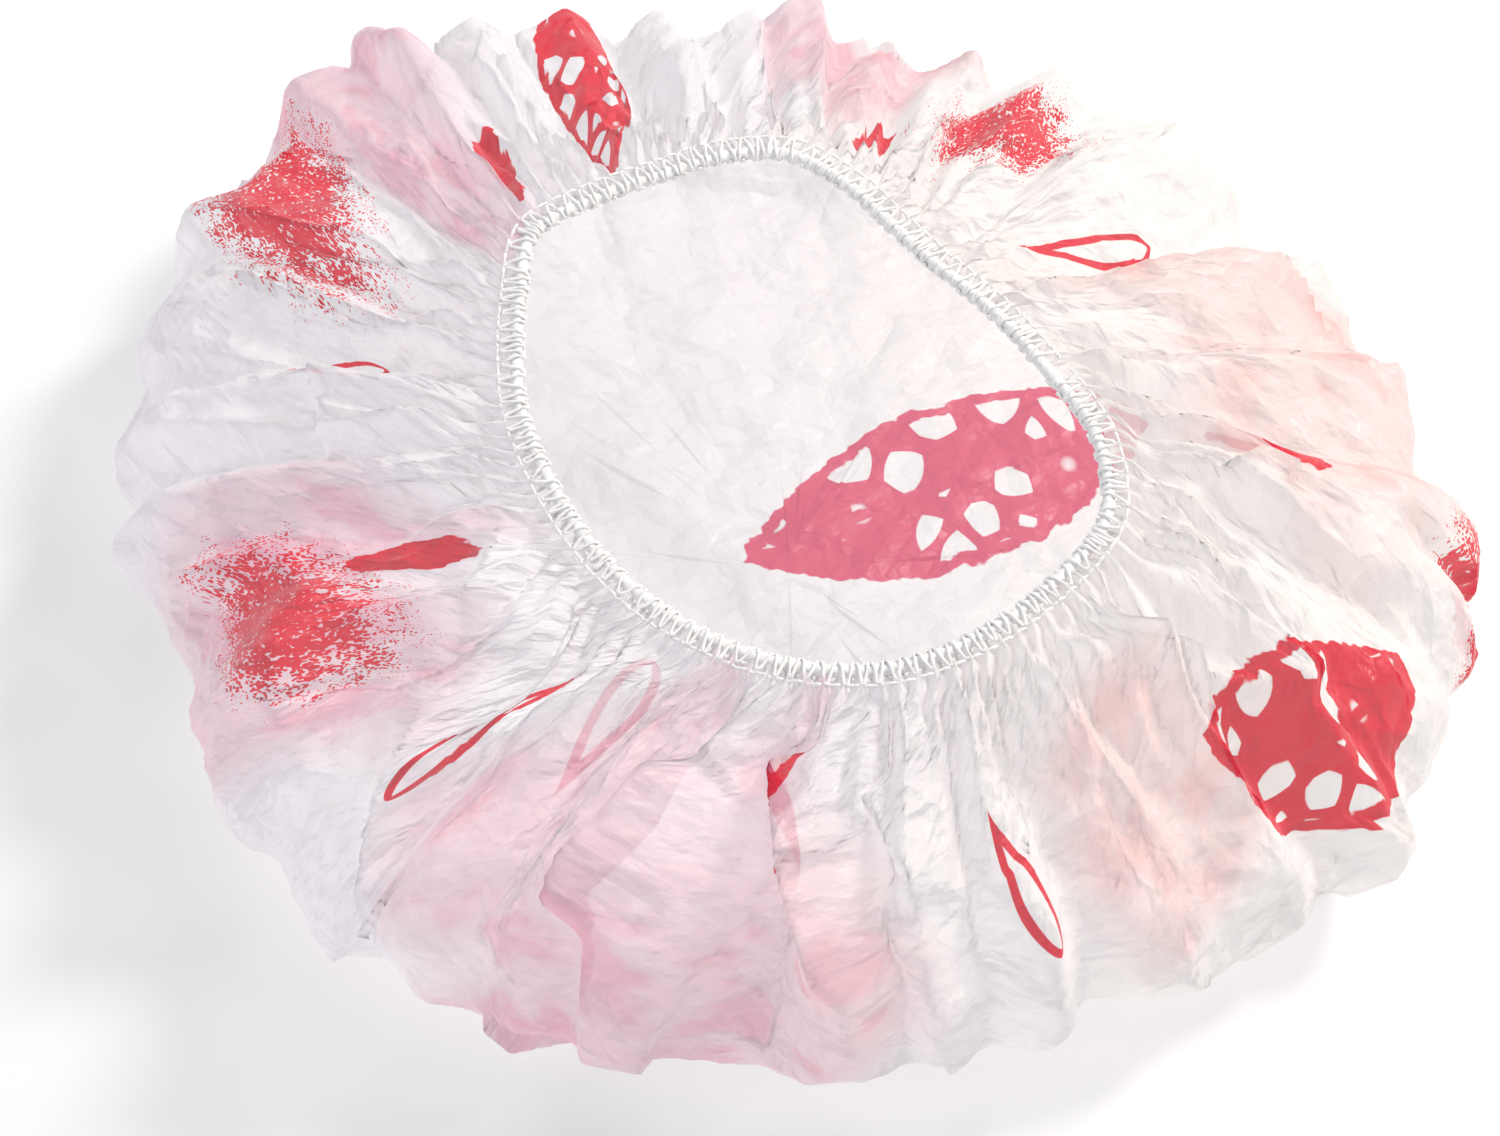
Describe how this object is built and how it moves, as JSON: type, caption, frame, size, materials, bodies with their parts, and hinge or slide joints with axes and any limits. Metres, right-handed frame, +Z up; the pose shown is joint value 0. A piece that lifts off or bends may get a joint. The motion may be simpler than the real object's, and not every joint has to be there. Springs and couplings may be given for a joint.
{
  "type": "shower cap",
  "caption": "Light shower cap of thin translucent film, gathered by an overlock seam onto an elastic cord around its opening, lying crown down.",
  "frame": {"origin": "middle of the crown's underside, on the surface that the cap lies on", "axes": "+Z up out of the gathered opening, -Y towards the front of the lying cap, +X to its right"},
  "size_m": [0.2717, 0.2467, 0.0761],
  "materials": {
    "film": "thin translucent film with a soft sheen, printed in red and pale pink on its outer face",
    "elastic": "white covered elastic, matte",
    "thread": "white textured overlock thread"
  },
  "bodies": {
    "root": {"cap_film": "film", "elastic_cord": "elastic", "overlock_needle_thread": "thread", "overlock_upper_looper_thread": "thread", "overlock_lower_looper_thread": "thread"}
  },
  "joints": []
}
